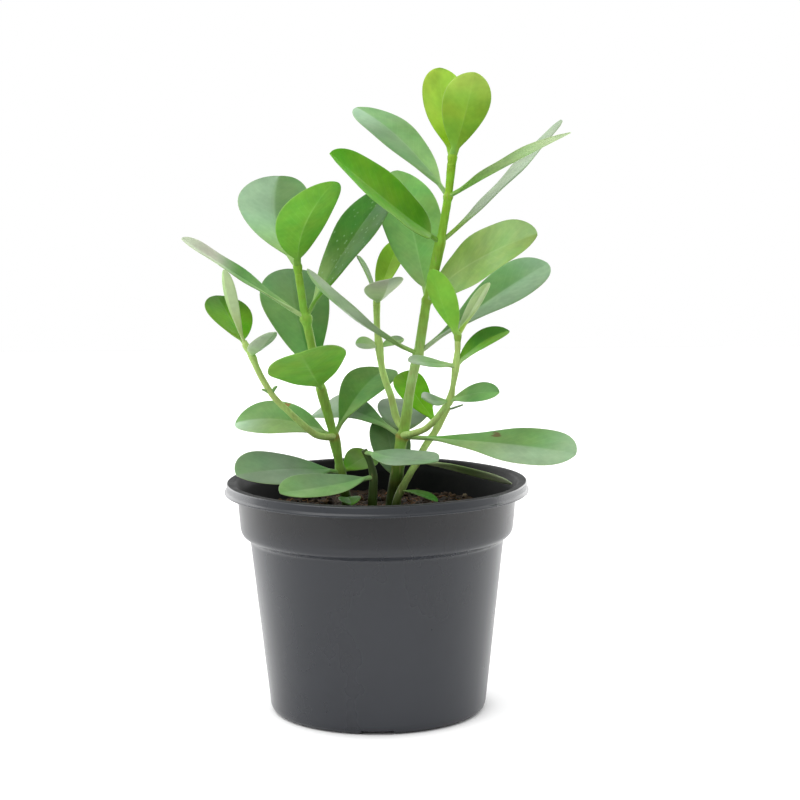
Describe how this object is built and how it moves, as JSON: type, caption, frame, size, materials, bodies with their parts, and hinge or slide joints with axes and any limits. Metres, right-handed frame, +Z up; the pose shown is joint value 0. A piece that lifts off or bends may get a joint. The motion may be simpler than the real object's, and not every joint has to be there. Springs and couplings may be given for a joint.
{
  "type": "potted clusia plant",
  "caption": "Small clusia with thick oval leaves in opposite pairs on upright stems, growing in potting mix in a round black plastic nursery pot with a turned-over rim.",
  "frame": {"origin": "centre of the pot's foot, on the surface that it stands on", "axes": "+Z up along the pot's axis, +X to the right and +Y away from a viewer of the picture"},
  "size_m": [0.1915, 0.152, 0.3191],
  "materials": {
    "pot_plastic": "satin black moulded plastic",
    "potting_mix": "moist peat and coir fibre",
    "leaf_mature": "thick waxy leaf",
    "leaf_young": "thick waxy young leaf"
  },
  "bodies": {
    "root": {"pot": "pot_plastic", "soil": "potting_mix", "main_shoot": "leaf_mature", "main_tip": "leaf_young", "centre_side_shoot": "leaf_mature", "right_side_shoot": "leaf_mature", "right_side_tip": "leaf_young", "left_shoot": "leaf_mature", "left_tip": "leaf_young", "left_side_shoot": "leaf_mature", "back_shoot": "leaf_mature", "low_shoot": "leaf_mature"}
  },
  "joints": []
}
